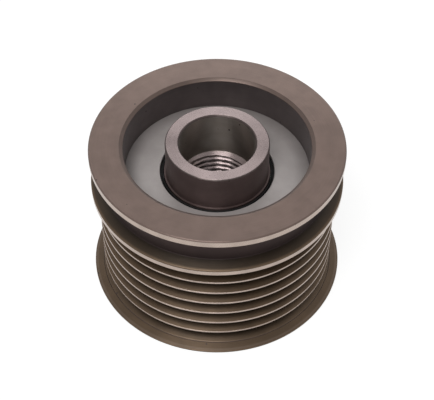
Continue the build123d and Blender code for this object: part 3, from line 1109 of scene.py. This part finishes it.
# %% Finishes of the inner pieces
BEARING_DARK = (0.47, 0.47, 0.48, 1)
BEARING_LIGHT = (0.60, 0.60, 0.60, 1)
BEARING_ROUGHNESS = (0.16, 0.30)


def build_bearing_steel():
    material, tree, surface = new_material("ground_bearing_steel")
    marks = effect(tree, LATHE_MARKS, Rings_per_Metre=9000.0, Drift=0.8)["Mask"]
    shade = mix_colors(tree, ramp(tree, marks, *NARROW_RANGE), BEARING_DARK, BEARING_LIGHT)
    tree.links.new(shade, surface.inputs["Base Color"])
    rough = ramp(tree, marks, *FULL_RANGE, *BEARING_ROUGHNESS)
    tree.links.new(rough, surface.inputs["Roughness"])
    surface.inputs["Metallic"].default_value = 1.0
    bump(tree, surface, marks, distance=0.002 * MM)
    return material


INNER_FINISHES = {
    "bearing_steel": build_bearing_steel(),
    "cage_polymer": build_mottled(
        "moulded_cage",
        clouds=350.0,
        grains=6000.0,
        dark=(0.018, 0.018, 0.020, 1),
        light=(0.040, 0.040, 0.043, 1),
        roughness=(0.45, 0.65),
        grain_depth=0.006 * MM,
    ),
    "spring_steel": build_mottled(
        "straw_spring_strip",
        clouds=700.0,
        grains=5000.0,
        dark=(0.42, 0.36, 0.25, 1),
        light=(0.50, 0.46, 0.38, 1),
        roughness=(0.22, 0.36),
        Metallic=1.0,
    ),
}
slots = {part["node"]: part["material_slot"] for part in frame["record"]["subparts"]}
for node_name, node_object in frame["nodes"].items():
    inner_finish = INNER_FINISHES.get(slots[node_name])
    if inner_finish:
        node_object.data.materials.clear()
        node_object.data.materials.append(inner_finish)
        print(node_name, "gets", inner_finish.name)

# %% [markdown]
# ## Light and floor
# The photograph was taken in a light tent: white all round, hardly a shadow. Metal shows what
# is round it, so the world is white for the camera and for glossy rays, and softer for the
# diffuse light that matt surfaces gather. A wide lamp high in front, a little to the left,
# lights the top faces and draws the streak in the bore. A weaker one low behind lifts the far
# side.

# %% World
WORLD_FILL = 0.4


def background_rays(tree):
    path = add(tree, "ShaderNodeLightPath").outputs
    seen = calculate(tree, "MAXIMUM", path["Is Camera Ray"], path["Is Glossy Ray"])
    return calculate(tree, "MAXIMUM", seen, path["Is Transmission Ray"])


def build_world():
    world = bpy.data.worlds.new("light_tent")
    world.use_nodes = True
    tree = world.node_tree
    background = tree.nodes["Background"]
    strength = blend(tree, background_rays(tree), WORLD_FILL, 1.0)
    tree.links.new(strength, background.inputs["Strength"])
    background.inputs["Color"].default_value = (1, 1, 1, 1)
    scene.world = world


build_world()

# %% Floor
FLOOR_HALF = 0.8
FLOOR_GLOW = 0.80
FLOOR_SHADE = 0.30


def build_floor():
    mesh = bpy.data.meshes.new("floor")
    signs = ((-1, -1), (1, -1), (1, 1), (-1, 1))
    corners = [(x * FLOOR_HALF, y * FLOOR_HALF, 0) for x, y in signs]
    mesh.from_pydata(corners, [], [(0, 1, 2, 3)])
    floor = bpy.data.objects.new("floor", mesh)
    scene.collection.objects.link(floor)
    material, tree, surface = new_material("pale_floor")
    tree.nodes.remove(surface)
    strength = calculate(tree, "MULTIPLY", background_rays(tree), FLOOR_GLOW)
    glow = add(tree, "ShaderNodeEmission", {"Strength": strength})
    shade = (FLOOR_SHADE, FLOOR_SHADE, FLOOR_SHADE, 1)
    grey = add(tree, "ShaderNodeBsdfDiffuse", {"Color": shade})
    both = add(tree, "ShaderNodeAddShader", {0: glow.outputs[0], 1: grey.outputs[0]})
    tree.links.new(both.outputs[0], tree.nodes["Material Output"].inputs["Surface"])
    mesh.materials.append(material)


build_floor()


# %% Lamps
def soft_lamp(name, azimuth, elevation, distance, size, power):
    data = bpy.data.lights.new(name, "AREA")
    data.size = size
    data.energy = power
    lamp = bpy.data.objects.new(name, data)
    scene.collection.objects.link(lamp)
    a, e = math.radians(azimuth), math.radians(elevation)
    away = Vector((math.sin(a) * math.cos(e), math.cos(a) * math.cos(e), math.sin(e)))
    lamp.location = away * distance
    lamp.rotation_euler = (-away).to_track_quat("-Z", "Y").to_euler()


soft_lamp("key_lamp", azimuth=-158, elevation=62, distance=0.8, size=0.4, power=3.2)
soft_lamp("back_lamp", azimuth=0, elevation=28, distance=0.8, size=0.4, power=1.2)
